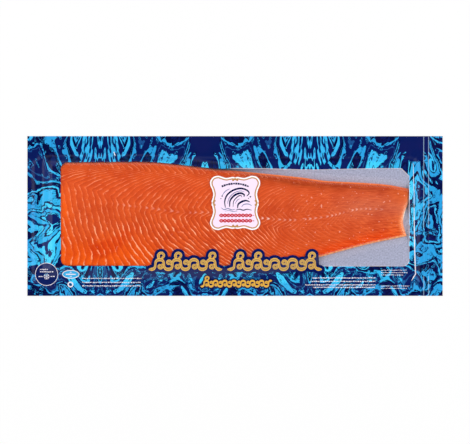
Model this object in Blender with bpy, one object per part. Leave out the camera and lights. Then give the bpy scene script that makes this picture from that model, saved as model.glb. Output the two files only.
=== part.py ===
"""Vacuum pack of one smoked salmon side, lying flat with its windowed face up.

The pack is a stack, from the table up: the back film, a silver backing board, the
salmon side on the board, and the front film drawn down over both. The front film has
a printed frame and a clear window, and a label sits on the window.
Units are metres, +X runs from the head end to the tail, +Z is up, and the origin is
the middle of the rectangle that the pack covers on the table.
"""

import math

import bmesh
import bpy

MM = 0.001

# The sealed film pouch.
PACK_LENGTH = 650 * MM
PACK_WIDTH = 250 * MM
FILM_THICKNESS = 0.5 * MM
CLEARANCE = 0.3 * MM  # air left between two solids that touch in the real pack

# The silver backing board, pushed towards the factory-sealed head end.
BOARD_LEFT = -310 * MM
BOARD_RIGHT = 281 * MM
BOARD_BOTTOM = -104.5 * MM
BOARD_TOP = 85.5 * MM
BOARD_CORNER = 9 * MM
BOARD_THICKNESS = 1.5 * MM

# The clear window in the printed front.
WINDOW_HALF_LENGTH = 272 * MM
WINDOW_BOTTOM = -78 * MM
WINDOW_TOP = 74 * MM
WINDOW_TOP_SAG = 2.2 * MM  # dip of the top edge, half way along the bare board
WINDOW_OVERLAP = 0.9 * MM  # how far the print covers the back of the fish
WINDOW_CORNER = 12.5 * MM
WINDOW_HEAD_CORNER = 7 * MM

# The salmon side. Stations run along X in mm: the outline's two edges, then its height.
HEAD_END = -290 * MM
HEAD_CORNER = 16 * MM
BACK_EDGE = [(-290, 84.2), (-210, 84.8), (-132, 84.8), (-55, 77), (8, 70.2), (102, 60.5), (140, 55.2),
             (203, 51.7), (240, 48.6), (278, 41.5)]
BELLY_EDGE = [(-290, -84), (-120, -88), (20, -84), (90, -75), (136, -63.5), (203, -45.5), (278, -29.5)]
CREST_HEIGHT = [(-290, 19.5), (-150, 22), (0, 19.5), (150, 15), (278, 11)]
# The tail was cut off in a shallow hollow: share of the way from back to belly, then X in mm.
TAIL_CUT = [(0, 278), (0.2, 275), (0.4, 268.5), (0.6, 264), (0.75, 263.3), (1, 268.8)]
CREST_SHARE = 0.3  # the crest lies this share of the way from back to belly
BACK_DROP = 0.18
BELLY_DROP_HEAD = 0.58
BELLY_DROP_TAIL = 0.3
FLESH_EDGE = 12 * MM  # width of the rounding along the cut edges
FLESH_EDGE_HEIGHT = 0.16  # share of the height that stands upright at the very edge

# How the front film leaves the fish and the board.
TENT_INSIDE = 5 * MM
TENT_OUTSIDE = 12 * MM
FILM_ABOVE_FLESH = 0.5 * MM
BOARD_SLOPE_START = 1.5 * MM
BOARD_SLOPE_END = 10 * MM

# The label, one quarter of its outline in mm from its middle, then mirrored.
LABEL_CENTRE = (0.2 * MM, 20.4 * MM)
LABEL_THICKNESS = 0.4 * MM
LABEL_QUARTER = [(0, 39.5), (4, 40.6), (13.5, 39), (20, 40.6), (26.5, 42.4), (34, 40.4), (38.6, 34.5),
                 (38.8, 28), (35.8, 20.5), (34.3, 13.5), (35.6, 6), (36.8, 3), (36.0, 0)]

# How finely each surface is drawn.
COLUMNS_ALONG = 30
ROWS_ACROSS = 13
CORNER_COLUMNS = 4
ON_BOARD_SHARES = [0, 0.22, 0.38, 0.54, 0.7, 0.86, 1]  # from the window's rim to the board's edge
OFF_BOARD_SHARES = [0.35, 0.68, 1.0, 1.3]  # on down the film's slope to the margin
FLESH_COLUMNS = 36
FLESH_ROWS = 14
LABEL_RINGS = [0.33, 0.66, 1.0]
LABEL_STEPS = 2

BOARD_UNDERSIDE = FILM_THICKNESS + CLEARANCE
BOARD_FACE = BOARD_UNDERSIDE + BOARD_THICKNESS
FLESH_UNDERSIDE = BOARD_FACE + CLEARANCE
MARGIN_UNDERSIDE = FILM_THICKNESS + CLEARANCE


def smooth_through(stations, at):
    """Cubic Hermite curve through (place, value) stations, level past the ends."""
    if at <= stations[0][0]:
        return stations[0][1]
    if at >= stations[-1][0]:
        return stations[-1][1]
    last = len(stations) - 1
    i = next(k for k in range(last) if at <= stations[k + 1][0])

    def slope(k):
        before, after = stations[max(k - 1, 0)], stations[min(k + 1, last)]
        return (after[1] - before[1]) / (after[0] - before[0])

    (x0, y0), (x1, y1) = stations[i], stations[i + 1]
    span = x1 - x0
    t = (at - x0) / span
    return (
        (2 * t**3 - 3 * t**2 + 1) * y0
        + (t**3 - 2 * t**2 + t) * span * slope(i)
        + (3 * t**2 - 2 * t**3) * y1
        + (t**3 - t**2) * span * slope(i + 1)
    )


def smoothstep(low, high, value):
    t = min(max((value - low) / (high - low), 0), 1)
    return t * t * (3 - 2 * t)


def corner_inset(distance, radius):
    """How far an arc pulls an edge in at this distance from the side that it meets."""
    if distance >= radius:
        return 0.0
    return radius - math.sqrt(radius**2 - (radius - max(distance, 0)) ** 2)


# The fish's outline and height.


def back_edge(x):
    return smooth_through(BACK_EDGE, x / MM) * MM


def belly_edge(x):
    return smooth_through(BELLY_EDGE, x / MM) * MM


def share_across(x, y):
    """0 on the back edge, 1 on the belly edge."""
    return (back_edge(x) - y) / (back_edge(x) - belly_edge(x))


def tail_cut(share):
    return smooth_through(TAIL_CUT, share) * MM


def crest_height(x, share):
    """Height of the flesh over its underside, without the rounded edges."""
    share = min(max(share, 0), 1)
    towards_tail = smoothstep(HEAD_END, tail_cut(0), x)
    if share < CREST_SHARE:
        drop = BACK_DROP * ((CREST_SHARE - share) / CREST_SHARE) ** 2
    else:
        belly_drop = BELLY_DROP_HEAD + (BELLY_DROP_TAIL - BELLY_DROP_HEAD) * towards_tail
        drop = belly_drop * ((share - CREST_SHARE) / (1 - CREST_SHARE)) ** 1.7
    return smooth_through(CREST_HEIGHT, x / MM) * MM * (1 - drop)


def outside_fish(x, y):
    """Distance outside the fish's outline, negative inside it."""
    share = share_across(x, y)
    across = max(y - back_edge(x), belly_edge(x) - y)
    along = max(HEAD_END - x, x - tail_cut(min(max(share, 0), 1)))
    if across > 0 and along > 0:
        return math.hypot(across, along)
    return max(across, along)


def flesh_top(x, y, depth):
    """Height of the flesh above the table, at a distance in from the outline."""
    rounding = math.sqrt(1 - (1 - min(depth / FLESH_EDGE, 1)) ** 2)
    share = FLESH_EDGE_HEIGHT + (1 - FLESH_EDGE_HEIGHT) * rounding
    return FLESH_UNDERSIDE + crest_height(x, share_across(x, y)) * share


# The front film's underside.


def outside_board(x, y):
    """Distance outside the board's rounded rectangle, negative inside it."""
    centre_x, centre_y = (BOARD_LEFT + BOARD_RIGHT) / 2, (BOARD_BOTTOM + BOARD_TOP) / 2
    across_x = abs(x - centre_x) - (BOARD_RIGHT - BOARD_LEFT) / 2 + BOARD_CORNER
    across_y = abs(y - centre_y) - (BOARD_TOP - BOARD_BOTTOM) / 2 + BOARD_CORNER
    outer = math.hypot(max(across_x, 0), max(across_y, 0))
    return outer + min(max(across_x, across_y), 0) - BOARD_CORNER


def film_underside(x, y):
    """The film lies on the margin, steps up over the board and tents over the fish."""
    on_board = 1 - smoothstep(BOARD_SLOPE_START, BOARD_SLOPE_END, outside_board(x, y))
    base = MARGIN_UNDERSIDE + on_board * (BOARD_FACE + CLEARANCE - MARGIN_UNDERSIDE)
    on_fish = 1 - smoothstep(-TENT_INSIDE, TENT_OUTSIDE, outside_fish(x, y))
    return base + on_fish * (crest_height(x, share_across(x, y)) + FILM_ABOVE_FLESH)


def film_face(x, y):
    return film_underside(x, y) + FILM_THICKNESS


# Building blocks.


def new_object(name, mesh, material):
    obj = bpy.data.objects.new(name, mesh)
    obj.data.materials.append(material)
    bpy.context.scene.collection.objects.link(obj)
    return obj


def finish_mesh(name, shape):
    mesh = bpy.data.meshes.new(name)
    bmesh.ops.recalc_face_normals(shape, faces=shape.faces)
    shape.to_mesh(mesh)
    shape.free()
    mesh.shade_smooth()
    mesh.set_sharp_from_angle(angle=math.radians(35))
    return mesh


def plain_material(name, colour, roughness, metallic=0.0, alpha=1.0):
    material = bpy.data.materials.new(name)
    material.use_nodes = True
    shader = material.node_tree.nodes["Principled BSDF"]
    shader.inputs["Base Color"].default_value = (*colour, 1)
    shader.inputs["Roughness"].default_value = roughness
    shader.inputs["Metallic"].default_value = metallic
    shader.inputs["Alpha"].default_value = alpha
    material.diffuse_color = (*colour, alpha)
    return material


def wall(shape, lower, upper):
    """Quads between two closed loops of the same length."""
    for i in range(len(lower)):
        j = (i + 1) % len(lower)
        shape.faces.new((lower[i], lower[j], upper[j], upper[i]))


def sheet_grid(name, rows, underside, thickness):
    """Closed sheet over a grid of (x, y) points, its two faces following underside."""
    shape = bmesh.new()
    layers = []
    for lift in (0, thickness):
        layers.append([[shape.verts.new((x, y, underside(x, y) + lift)) for x, y in row] for row in rows])
    for layer in layers:
        for near, far in zip(layer, layer[1:]):
            for i in range(len(near) - 1):
                shape.faces.new((near[i], near[i + 1], far[i + 1], far[i]))
    wall(shape, grid_rim(layers[0]), grid_rim(layers[1]))
    return finish_mesh(name, shape)


def grid_rim(rows):
    """The outer points of a grid, once round."""
    left = [row[0] for row in rows]
    right = [row[-1] for row in rows]
    return rows[0] + right[1:-1] + rows[-1][::-1] + left[1:-1][::-1]


def sheet_rings(name, rings, underside, thickness, closed_middle):
    """Closed sheet between the first and last ring, or over the whole of the last one."""
    shape = bmesh.new()
    layers = []
    for lift in (0, thickness):
        layers.append([[shape.verts.new((x, y, underside(x, y) + lift)) for x, y in ring] for ring in rings])
    for layer in layers:
        for inner, outer in zip(layer, layer[1:]):
            wall(shape, inner, outer)
    wall(shape, layers[0][-1], layers[1][-1])
    if closed_middle:
        for layer in layers:
            count = len(layer[0])
            x = sum(v.co.x for v in layer[0]) / count
            y = sum(v.co.y for v in layer[0]) / count
            lift = 0 if layer is layers[0] else thickness
            middle = shape.verts.new((x, y, underside(x, y) + lift))
            for i in range(count):
                shape.faces.new((middle, layer[0][i], layer[0][(i + 1) % count]))
    else:
        wall(shape, layers[0][0], layers[1][0])
    return finish_mesh(name, shape)


# The pieces.


def window_top(x):
    """Straight along the bare board, with a slight sag, and lifted over the fish's back at the head."""
    sag = WINDOW_TOP_SAG * math.sin(math.pi * smoothstep(-30 * MM, WINDOW_HALF_LENGTH, x)) ** 2
    return max(WINDOW_TOP - sag, back_edge(x) - WINDOW_OVERLAP)


def window_grid(inset):
    """Rows of points over the window from the bottom edge up, its outline drawn in by inset."""
    left, right = -WINDOW_HALF_LENGTH + inset, WINDOW_HALF_LENGTH - inset
    arc = [WINDOW_CORNER * (1 - math.cos(math.radians(90 * i / CORNER_COLUMNS))) for i in range(CORNER_COLUMNS)]
    start, end = left + WINDOW_CORNER, right - WINDOW_CORNER
    middle = [start + (end - start) * i / COLUMNS_ALONG for i in range(COLUMNS_ALONG + 1)]
    columns = [left + a for a in arc] + middle + [right - a for a in reversed(arc)]
    rows = []
    for j in range(ROWS_ACROSS + 1):
        row = []
        for x in columns:
            low = WINDOW_BOTTOM + inset + corner_inset(min(x - left, right - x), WINDOW_CORNER)
            top_inset = max(corner_inset(x - left, WINDOW_HEAD_CORNER), corner_inset(right - x, WINDOW_CORNER))
            high = window_top(x) - inset - top_inset
            row.append((x, low + (high - low) * j / ROWS_ACROSS))
        rows.append(row)
    return rows


def outer_point(x, y, hole):
    """The point of the pouch's outer edge that stands opposite a point of the window's rim."""
    left, right = hole[0][0][0], hole[0][-1][0]
    share = (x - left) / (right - left)
    low = [row[0] for row in hole]
    high = [row[-1] for row in hole]
    half_length, half_width = PACK_LENGTH / 2, PACK_WIDTH / 2
    if (x, y) in low or (x, y) in high:
        side = low if (x, y) in low else high
        up = side.index((x, y)) / ROWS_ACROSS
        return (math.copysign(half_length, x), -half_width + PACK_WIDTH * up)
    return (-half_length + PACK_LENGTH * share, math.copysign(half_width, y))


def board_crossing(start, end, distance):
    """Share of the way along a ray at which it stands this far outside the board, by halving."""
    low, high = 0.0, 1.0
    for _ in range(30):
        middle = (low + high) / 2
        x = start[0] + (end[0] - start[0]) * middle
        y = start[1] + (end[1] - start[1]) * middle
        if outside_board(x, y) < distance:
            low = middle
        else:
            high = middle
    return low


def frame_ray(start, end):
    """Points from the window's rim out to the margin, closer together where the film slopes."""
    slope_start = board_crossing(start, end, BOARD_SLOPE_START)
    slope_end = board_crossing(start, end, BOARD_SLOPE_END)
    places = [slope_start * share for share in ON_BOARD_SHARES]
    places += [slope_start + (slope_end - slope_start) * share for share in OFF_BOARD_SHARES]
    return [(start[0] + (end[0] - start[0]) * t, start[1] + (end[1] - start[1]) * t) for t in places]


def frame_rings():
    """Rings of points from the window's rim out to the pouch's edge."""
    hole = window_grid(0)
    rim = grid_rim(hole)
    outer = [outer_point(x, y, hole) for x, y in rim]
    rays = [frame_ray(start, end) for start, end in zip(rim, outer)]
    return [list(ring) for ring in zip(*rays)] + [outer]


def label_rings():
    """Rings of points from near the label's middle out to its scalloped edge."""
    quarter = []
    last = len(LABEL_QUARTER) - 1
    for k in range(last):
        for step in range(LABEL_STEPS):
            at = k + step / LABEL_STEPS
            x = smooth_through([(i, p[0]) for i, p in enumerate(LABEL_QUARTER)], at)
            y = smooth_through([(i, p[1]) for i, p in enumerate(LABEL_QUARTER)], at)
            quarter.append((x * MM, y * MM))
    right_end = (LABEL_QUARTER[-1][0] * MM, 0)
    upper_right = quarter + [right_end]
    lower_right = [(x, -y) for x, y in reversed(quarter)]
    right = upper_right + lower_right
    left = [(-x, y) for x, y in reversed(right[1:-1])]
    outline = right + left
    centre_x, centre_y = LABEL_CENTRE
    return [[(centre_x + x * share, centre_y + y * share) for x, y in outline] for share in LABEL_RINGS]


def make_back_film():
    bpy.ops.mesh.primitive_cube_add(size=1, location=(0, 0, FILM_THICKNESS / 2))
    film = bpy.context.object
    film.name = "back_film"
    film.scale = (PACK_LENGTH, PACK_WIDTH, FILM_THICKNESS)
    bpy.ops.object.transform_apply(location=False, rotation=False, scale=True)
    film.data.materials.append(plain_material("back_film", (0.02, 0.2, 0.52), 0.3))


def make_board():
    """Rounded rectangle of card, extruded up from its underside."""
    shape = bmesh.new()
    loop = []
    corners = [(BOARD_RIGHT, BOARD_BOTTOM, -90), (BOARD_RIGHT, BOARD_TOP, 0), (BOARD_LEFT, BOARD_TOP, 90),
               (BOARD_LEFT, BOARD_BOTTOM, 180)]
    for x, y, start in corners:
        centre_x = x - math.copysign(BOARD_CORNER, x)
        centre_y = y - math.copysign(BOARD_CORNER, y)
        for i in range(7):
            angle = math.radians(start + 90 * i / 6)
            loop.append((centre_x + BOARD_CORNER * math.cos(angle), centre_y + BOARD_CORNER * math.sin(angle)))
    face = shape.faces.new([shape.verts.new((x, y, BOARD_UNDERSIDE)) for x, y in loop])
    raised = bmesh.ops.extrude_face_region(shape, geom=[face])
    lifted = [item for item in raised["geom"] if isinstance(item, bmesh.types.BMVert)]
    bmesh.ops.translate(shape, vec=(0, 0, BOARD_THICKNESS), verts=lifted)
    new_object("backing_board", finish_mesh("backing_board", shape),
               plain_material("backing_board", (0.42, 0.45, 0.57), 0.35, metallic=0.4))


def flesh_point(i, j):
    """Grid point of the salmon side, its steps drawn closer towards the four cut edges."""
    along = (1 - math.cos(math.pi * i / FLESH_COLUMNS)) / 2 * 0.35 + i / FLESH_COLUMNS * 0.65
    share = (1 - math.cos(math.pi * j / FLESH_ROWS)) / 2 * 0.6 + j / FLESH_ROWS * 0.4
    x = HEAD_END + along * (tail_cut(share) - HEAD_END)
    inset = corner_inset(x - HEAD_END, HEAD_CORNER)
    high, low = back_edge(x) - inset, belly_edge(x) + inset
    y = high + share * (low - high)
    depth = min(x - HEAD_END, tail_cut(share) - x, high - y, y - low)
    return (x, y, flesh_top(x, y, max(depth, 0)))


def make_salmon():
    """Top surface from back to belly, an upright rim and a flat underside."""
    shape = bmesh.new()
    rows = [[shape.verts.new(flesh_point(i, j)) for i in range(FLESH_COLUMNS + 1)] for j in range(FLESH_ROWS + 1)]
    for near, far in zip(rows, rows[1:]):
        for i in range(FLESH_COLUMNS):
            shape.faces.new((near[i], near[i + 1], far[i + 1], far[i]))
    rim = grid_rim(rows)
    foot = [shape.verts.new((v.co.x, v.co.y, FLESH_UNDERSIDE)) for v in rim]
    wall(shape, foot, rim)
    shape.faces.new(foot)
    new_object("salmon_side", finish_mesh("salmon_side", shape),
               plain_material("salmon_side", (0.76, 0.13, 0.035), 0.35))


def make_front_film():
    printed = sheet_rings("printed_film", frame_rings(), film_underside, FILM_THICKNESS, closed_middle=False)
    new_object("printed_film", printed, plain_material("printed_film", (0.03, 0.28, 0.62), 0.3))
    clear = sheet_grid("window_film", window_grid(CLEARANCE), film_underside, FILM_THICKNESS)
    new_object("window_film", clear, plain_material("window_film", (0.9, 0.92, 0.95), 0.08, alpha=0.2))


def make_label():
    label = sheet_rings("front_label", label_rings(), lambda x, y: film_face(x, y) + CLEARANCE, LABEL_THICKNESS,
                        closed_middle=True)
    new_object("front_label", label, plain_material("front_label", (0.95, 0.87, 0.96), 0.4))


def main():
    for obj in list(bpy.data.objects):
        bpy.data.objects.remove(obj)
    make_back_film()
    make_board()
    make_salmon()
    make_front_film()
    make_label()


main()
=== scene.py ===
import bmesh
import bpy
import numpy as np
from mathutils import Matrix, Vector


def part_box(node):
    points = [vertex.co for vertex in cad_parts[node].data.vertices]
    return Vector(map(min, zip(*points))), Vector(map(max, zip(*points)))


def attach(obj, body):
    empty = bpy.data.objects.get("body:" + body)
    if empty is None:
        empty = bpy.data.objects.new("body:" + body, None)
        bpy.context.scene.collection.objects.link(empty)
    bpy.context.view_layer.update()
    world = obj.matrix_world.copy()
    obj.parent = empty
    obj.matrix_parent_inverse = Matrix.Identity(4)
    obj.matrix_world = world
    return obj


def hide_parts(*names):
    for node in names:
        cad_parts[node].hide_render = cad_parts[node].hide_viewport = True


# A vacuum pack of one smoked salmon side, seen from straight above.
# Lengths in the dictionaries are in millimetres, x towards the tail, y towards the fish's back.
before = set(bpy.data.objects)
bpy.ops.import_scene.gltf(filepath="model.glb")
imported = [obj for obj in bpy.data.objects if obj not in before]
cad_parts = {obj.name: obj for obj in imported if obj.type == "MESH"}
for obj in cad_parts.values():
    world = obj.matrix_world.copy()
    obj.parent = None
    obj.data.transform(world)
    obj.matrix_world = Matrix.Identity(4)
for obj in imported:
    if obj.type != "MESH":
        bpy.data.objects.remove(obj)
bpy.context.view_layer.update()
mm = 0.001
print("frame loaded:", sorted(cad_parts))


# Small helpers for shapes.

def through(stations, at):
    # Cubic Hermite curve through (place, value) stations: at each station the slope is that of the
    # straight line between its two neighbours, and past the ends the curve stays level.
    x, y = np.array(stations, float).T
    at = np.clip(at, x[0], x[-1])
    i = np.clip(np.searchsorted(x, at, side="right") - 1, 0, len(x) - 2)
    before = np.maximum(np.arange(len(x)) - 1, 0)
    after = np.minimum(np.arange(len(x)) + 1, len(x) - 1)
    slope = (y[after] - y[before]) / (x[after] - x[before])
    span = x[i + 1] - x[i]
    t = (at - x[i]) / span
    return (
        (2 * t**3 - 3 * t**2 + 1) * y[i]
        + (t**3 - 2 * t**2 + t) * span * slope[i]
        + (3 * t**2 - 2 * t**3) * y[i + 1]
        + (t**3 - t**2) * span * slope[i + 1]
    )


def ease(low, high, value):
    # Smoothstep: 0 below low, 1 above high, 3t^2 - 2t^3 between them.
    t = np.clip((value - low) / (high - low), 0, 1)
    return t * t * (3 - 2 * t)


def cornerInset(distance, radius):
    # How far an arc of this radius pulls an edge in, at this distance from the side it meets.
    d = np.clip(distance, 0, radius)
    return radius - np.sqrt(radius**2 - (radius - d) ** 2)


def waves(x, y, seed, length):
    # Smooth lumps: nine sine waves of random directions, all about `length` long, added up to about -1..1.
    draws = np.random.default_rng(seed)
    total = np.zeros_like(x * y)
    for angle, phase, stretch in zip(draws.uniform(0, np.pi, 9), draws.uniform(0, 2 * np.pi, 9),
                                     draws.uniform(0.7, 1.5, 9)):
        along = x * np.cos(angle) + y * np.sin(angle)
        total = total + np.sin(2 * np.pi * along / (length * stretch) + phase)
    return total / 4


# The fish: outline and height in millimetres, the same as the solid that it replaces.

fish = {
    "backEdge": [(-290, 84.2), (-210, 84.8), (-132, 84.8), (-55, 77), (8, 70.2), (102, 60.5), (140, 55.2),
                 (203, 51.7), (240, 48.6), (278, 41.5)],
    "bellyEdge": [(-290, -84), (-120, -88), (20, -84), (90, -75), (136, -63.5), (203, -45.5), (278, -29.5)],
    "crest": [(-290, 19.5), (-150, 22), (0, 19.5), (150, 15), (278, 11)],
    "tailCut": [(0, 278), (0.2, 275), (0.4, 268.5), (0.6, 264), (0.75, 263.3), (1, 268.8)],
    "crestShare": 0.3,
    "backDrop": 0.18,
    "bellyDropHead": 0.58,
    "bellyDropTail": 0.3,
    "edgeWidth": 12,  # width of the rounding along the cut edges
    "edgeShare": 0.16,
    "headCorner": 16,
    "underFilm": 2.2,  # how far the back runs on under the printed film at the head end
    "columns": 470,
    "rows": 136,
    "grooveDepth": 0.28,  # the muscle blocks part a little at each fat line
    "lumps": 0.22,
}
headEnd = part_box("salmon_side")[0][0] / mm
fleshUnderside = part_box("salmon_side")[0][2] / mm
boardLow, boardHigh = (np.array(corner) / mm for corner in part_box("backing_board"))
packLow, packHigh = (np.array(corner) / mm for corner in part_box("printed_film"))
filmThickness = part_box("back_film")[1][2] / mm
clearance = 0.3


def backEdge(x):
    # y of the fish's back: a smooth curve through its stations.
    return through(fish["backEdge"], x)


def bellyEdge(x):
    # y of the fish's belly, in the same way.
    return through(fish["bellyEdge"], x)


def tailCut(share):
    # x of the cut tail at a share of the way from back to belly.
    return through(fish["tailCut"], np.clip(share, 0, 1))


def shareAcross(x, y):
    # How far a point is on the way from back (0) to belly (1).
    return (backEdge(x) - y) / (backEdge(x) - bellyEdge(x))


def crestHeight(x, share):
    # Highest along the crest line, falling off on both sides as a power of the distance from it.
    share = np.clip(share, 0, 1)
    top = fish["crestShare"]
    towardsTail = ease(headEnd, fish["tailCut"][0][1], x)
    bellyDrop = fish["bellyDropHead"] + (fish["bellyDropTail"] - fish["bellyDropHead"]) * towardsTail
    toBack = fish["backDrop"] * (np.clip(top - share, 0, 1) / top) ** 2
    toBelly = bellyDrop * (np.clip(share - top, 0, 1) / (1 - top)) ** 1.7
    return through(fish["crest"], x) * (1 - np.where(share < top, toBack, toBelly))


def outsideFish(x, y):
    # Distance outside the fish's outline, negative inside it.
    across = np.maximum(y - backEdge(x), bellyEdge(x) - y)
    along = np.maximum(headEnd - x, x - tailCut(shareAcross(x, y)))
    corner = np.hypot(np.maximum(across, 0), np.maximum(along, 0))
    return np.where((across > 0) & (along > 0), corner, np.maximum(across, along))


def outsideBoard(x, y, radius=9):
    # Distance outside the board's rounded rectangle, negative inside it.
    middle, half = (boardLow + boardHigh) / 2, (boardHigh - boardLow) / 2
    acrossX = np.abs(x - middle[0]) - half[0] + radius
    acrossY = np.abs(y - middle[1]) - half[1] + radius
    outer = np.hypot(np.maximum(acrossX, 0), np.maximum(acrossY, 0))
    return outer + np.minimum(np.maximum(acrossX, acrossY), 0) - radius


film = {
    "tentInside": 5,
    "tentOutside": 12,
    "aboveFlesh": 0.5,
    "slope": (1.5, 10),  # from this far off the board the film slopes down to the margin
    "ripple": 0.12,
    "rippleLength": 34,
    "loose": (0, 6),  # off the board the film gets loose, then settles again
    "settled": (16, 24),
    "pleatDepth": 0.45,  # folds that fan out from the board's corners
    "pleats": 13,
    "pleatReach": 24,
    "pleatRoot": 12,
    "windowRipple": 0.06,
}


def filmUnderside(x, y):
    # The film lies on the margin, steps up over the board's edge and is drawn down over the fish.
    margin = filmThickness + clearance
    onBoard = 1 - ease(*film["slope"], outsideBoard(x, y))
    base = margin + onBoard * (boardHigh[2] + clearance - margin)
    onFish = 1 - ease(-film["tentInside"], film["tentOutside"], outsideFish(x, y))
    return base + onFish * (crestHeight(x, shareAcross(x, y)) + film["aboveFlesh"])


def filmRelief(x, y):
    # Low ripples in the loose margin: 1 + waves. Pleats fan out from each corner of the board: the cube of a
    # raised cosine of the angle round the corner.
    off = outsideBoard(x, y)
    root = film["pleatRoot"]
    loose = ease(*film["loose"], off) * (1 - ease(*film["settled"], off) * 0.5)
    relief = film["ripple"] * loose * (1 + waves(x, y, 5, film["rippleLength"]))
    for cornerX in (boardLow[0] + root, boardHigh[0] - root):
        for cornerY in (boardLow[1] + root, boardHigh[1] - root):
            angle = np.arctan2(y - cornerY, x - cornerX)
            reach = np.hypot(x - cornerX, y - cornerY)
            fan = (0.5 + 0.5 * np.cos(film["pleats"] * angle)) ** 3
            near = ease(-2, 5, off) * (1 - ease(8, film["pleatReach"], reach - root))
            relief = relief + film["pleatDepth"] * fan * near
    return relief


def filmFace(x, y):
    # The film's outer face, which carries the prints inside and outside the window.
    return filmUnderside(x, y) + filmThickness + filmRelief(x, y)


# Building blocks for meshes. A shell is its points, its four-sided faces and its caps of many sides.

def gridFaces(index):
    # The four-sided faces between neighbouring points of a grid.
    return np.stack([index[:-1, :-1], index[:-1, 1:], index[1:, 1:], index[1:, :-1]], -1).reshape(-1, 4)


def sheetShell(x, y, low, high, loop=False, capped=False):
    # A closed sheet over a grid of points: upper layer at height high, lower layer at height low.
    # loop joins the last column to the first; capped closes the first row with one face per layer.
    count = x.size
    index = np.arange(count).reshape(x.shape)
    if loop:
        index = np.hstack([index, index[:, :1]])
    upper = gridFaces(index)
    faces = [upper, upper[:, ::-1] + count]
    rims = [index[-1]]
    if not capped:
        rims.append(index[0])
    if not loop:
        rims += [index[:, 0], index[:, -1]]
    for rim in rims:
        faces.append(np.stack([rim[:-1], rim[1:], rim[1:] + count, rim[:-1] + count], -1))
    caps = [index[0, :-1], index[0, :-1][::-1] + count] if capped else []
    points = np.concatenate([np.stack([x, y, height], -1).reshape(-1, 3) for height in (high, low)])
    return points, np.concatenate(faces), caps


def joinShells(shells):
    # Several shells as one: the faces of each count on from the points before it.
    starts = np.cumsum([0] + [len(points) for points, _, _ in shells])
    points = np.concatenate([points for points, _, _ in shells])
    faces = np.concatenate([faces + start for (_, faces, _), start in zip(shells, starts)])
    caps = [cap + start for (_, _, shellCaps), start in zip(shells, starts) for cap in shellCaps]
    return points, faces, caps


def pieceFrom(name, shell, material, node, replaces=False, values=None, uv=None, sharpAngle=40):
    # Points are in millimetres. The piece gets its own material; if it replaces an imported node, that node
    # is hidden.
    # values: one number or colour a point by attribute name; uv: one pair a point.
    points, faces, caps = shell
    mesh = bpy.data.meshes.new(name)
    mesh.from_pydata((points * mm).tolist(), [], faces.tolist() + [cap.tolist() for cap in caps])
    shape = bmesh.new()
    shape.from_mesh(mesh)
    bmesh.ops.recalc_face_normals(shape, faces=shape.faces)
    shape.to_mesh(mesh)
    shape.free()
    for key, data in (values or {}).items():
        colour = data.ndim == 2
        made = mesh.attributes.new(key, "FLOAT_COLOR" if colour else "FLOAT", "POINT")
        numbers = np.ascontiguousarray(data, np.float32).ravel()
        made.data.foreach_set("color" if colour else "value", numbers)
    if uv is not None:
        corners = np.zeros(len(mesh.loops), np.int32)
        mesh.loops.foreach_get("vertex_index", corners)
        mesh.uv_layers.new(name="UVMap").data.foreach_set("uv", uv[corners].astype(np.float32).ravel())
    mesh.shade_smooth()
    mesh.set_sharp_from_angle(angle=np.radians(sharpAngle))
    mesh.materials.append(material)
    piece = bpy.data.objects.new(name, mesh)
    bpy.context.scene.collection.objects.link(piece)
    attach(piece, "root")
    if replaces:
        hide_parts(node)
    print("made", name, len(mesh.polygons), "faces")


def ribbon(path, width, columns=3, closed=False):
    # A grid that widens a path to both sides: path + share of the width x unit normal.
    path = np.asarray(path, float)
    ahead = np.roll(path, -1, 0) - np.roll(path, 1, 0)
    if not closed:
        ahead[0], ahead[-1] = path[1] - path[0], path[-1] - path[-2]
    normal = np.stack([-ahead[:, 1], ahead[:, 0]], -1) / np.hypot(*ahead.T)[:, None]
    across = np.linspace(-0.5, 0.5, columns)[:, None, None]
    widths = np.broadcast_to(np.asarray(width, float), len(path))[None, :, None]
    grid = path[None] + across * widths * normal[None]
    return grid[..., 0], grid[..., 1]


def curveThrough(points, at):
    # A smooth curve in the plane: x and y each run through their stations, and at counts the points passed.
    index = np.arange(len(points))
    return np.stack([through(np.stack([index, values], -1), at) for values in np.transpose(points)], -1)


def ringPath(centre, radiusX, radiusY, steps=72):
    # An ellipse: centre + (a cosine, b sine).
    angle = np.arange(steps) / steps * 2 * np.pi
    return np.stack([centre[0] + radiusX * np.cos(angle), centre[1] + radiusY * np.sin(angle)], -1)


def arcPath(centre, radius, start, end, steps=30, shrink=0.0):
    # An arc or spiral between two angles in degrees: its radius falls evenly by the share shrink.
    t = np.linspace(0, 1, steps)
    angle = np.radians(start + (end - start) * t)
    reach = radius * (1 - shrink * t)
    return np.stack([centre[0] + reach * np.cos(angle), centre[1] + reach * np.sin(angle)], -1)


def layerOn(surface, grid, lift, thickness=0.05, loop=False, capped=False):
    # A thin closed layer that follows a surface, its underside this far above it.
    x, y = grid
    low = surface(x, y) + lift
    return sheetShell(x, y, low, low + thickness, loop, capped)


def discOn(surface, centre, radiusX, radiusY, lift, rings=3, steps=14, power=2):
    # A thin disc on a surface: rings of the superellipse |x/a|^power + |y/b|^power = 1, from a tenth of its
    # size out to the whole.
    angle = np.arange(steps) / steps * 2 * np.pi
    shapeX = np.sign(np.cos(angle)) * np.abs(np.cos(angle)) ** (2 / power)
    shapeY = np.sign(np.sin(angle)) * np.abs(np.sin(angle)) ** (2 / power)
    share = np.linspace(0.1, 1, rings)[:, None]
    grid = centre[0] + radiusX * share * shapeX, centre[1] + radiusY * share * shapeY
    return layerOn(surface, grid, lift, loop=True, capped=True)


# Small helpers for materials.

def tone(code):
    # sRGB hex to linear colour.
    value = np.array([int(code[i:i + 2], 16) for i in (1, 3, 5)]) / 255
    linear = np.where(value <= 0.04045, value / 12.92, ((value + 0.055) / 1.055) ** 2.4)
    return (*linear.tolist(), 1.0)


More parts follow.
